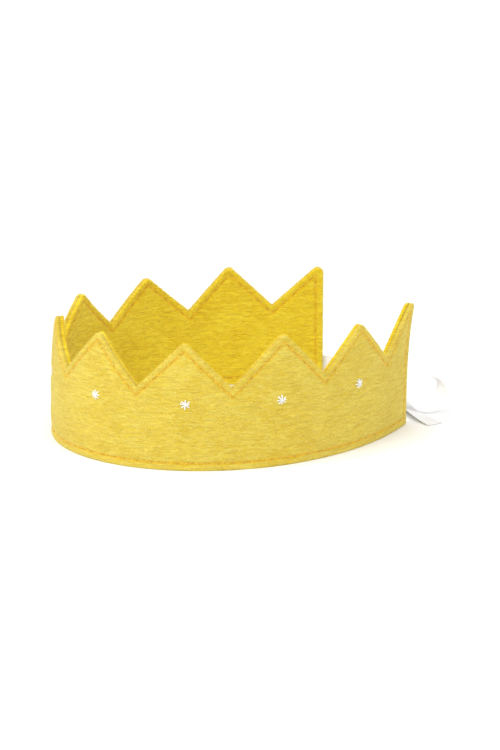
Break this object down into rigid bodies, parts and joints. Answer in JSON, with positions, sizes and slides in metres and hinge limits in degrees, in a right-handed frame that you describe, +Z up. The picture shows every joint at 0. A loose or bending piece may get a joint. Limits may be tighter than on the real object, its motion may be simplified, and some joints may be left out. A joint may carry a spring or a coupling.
{
  "type": "felt dress-up crown",
  "caption": "Open band crown in two sewn layers of yellow felt, zigzag top edge, small embroidered stars and a white ribbon bow at the back.",
  "frame": {"origin": "on the ground under the middle of the whole object's box, crown standing on the band's bottom edge", "axes": "+Z up; -Y towards the front of the crown as pictured; the open ends and the bow are at +X"},
  "size_m": [0.2148, 0.1657, 0.0699],
  "materials": {
    "felt": "brushed wool felt, matt",
    "star_thread": "embroidery thread",
    "ribbon": "woven white ribbon, soft sheen"
  },
  "bodies": {
    "root": {"outer_felt": "felt", "inner_felt": "felt", "star_stitch_1": "star_thread", "star_stitch_2": "star_thread", "star_stitch_3": "star_thread", "star_stitch_4": "star_thread", "star_stitch_5": "star_thread", "star_stitch_6": "star_thread", "star_stitch_7": "star_thread", "star_stitch_8": "star_thread", "left_ribbon": "ribbon", "right_ribbon": "ribbon"}
  },
  "joints": []
}
